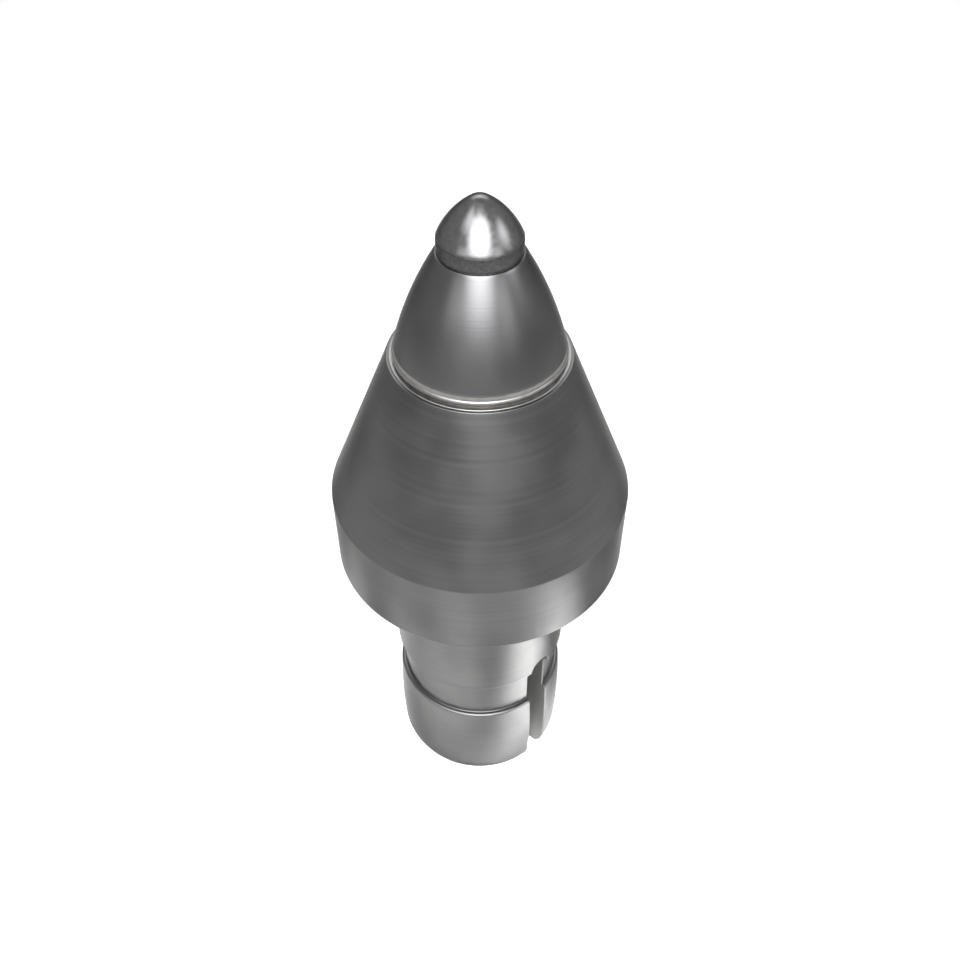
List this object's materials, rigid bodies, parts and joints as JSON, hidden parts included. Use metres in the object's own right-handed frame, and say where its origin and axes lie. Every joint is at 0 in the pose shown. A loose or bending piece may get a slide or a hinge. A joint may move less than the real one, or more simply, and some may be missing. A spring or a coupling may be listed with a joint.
{
  "type": "road milling pick",
  "caption": "Point-attack milling pick: an ogive carbide nose with a domed hard tip on a conical steel head with a round collar, and a slotted snap-in shank with a barbed end.",
  "frame": {"origin": "centre of the shank's flat end, at the bottom of the standing pick", "axes": "+Z along the pick's axis from the shank's end to the tip; the slot through the shank runs along Y, with its mouths at -Y and +Y"},
  "size_m": [0.0346, 0.0346, 0.0854],
  "materials": {
    "turned_steel": "turned, heat-treated and lightly blasted, satin grey",
    "ground_carbide": "ground tungsten carbide, satin with a fine sheen",
    "sintered_substrate": "ground tungsten carbide, darker band",
    "sintered_diamond": "lapped sintered diamond, smooth dark grey gloss",
    "seat_silver_braze": "silver braze as it froze, pale and slightly yellow",
    "tip_silver_braze": "silver braze as it froze, pale"
  },
  "bodies": {
    "root": {"steel_body": "turned_steel", "seat_braze": "seat_silver_braze", "bolster": "ground_carbide", "tip_braze": "tip_silver_braze", "tip_substrate": "sintered_substrate", "diamond_cap": "sintered_diamond"}
  },
  "joints": []
}
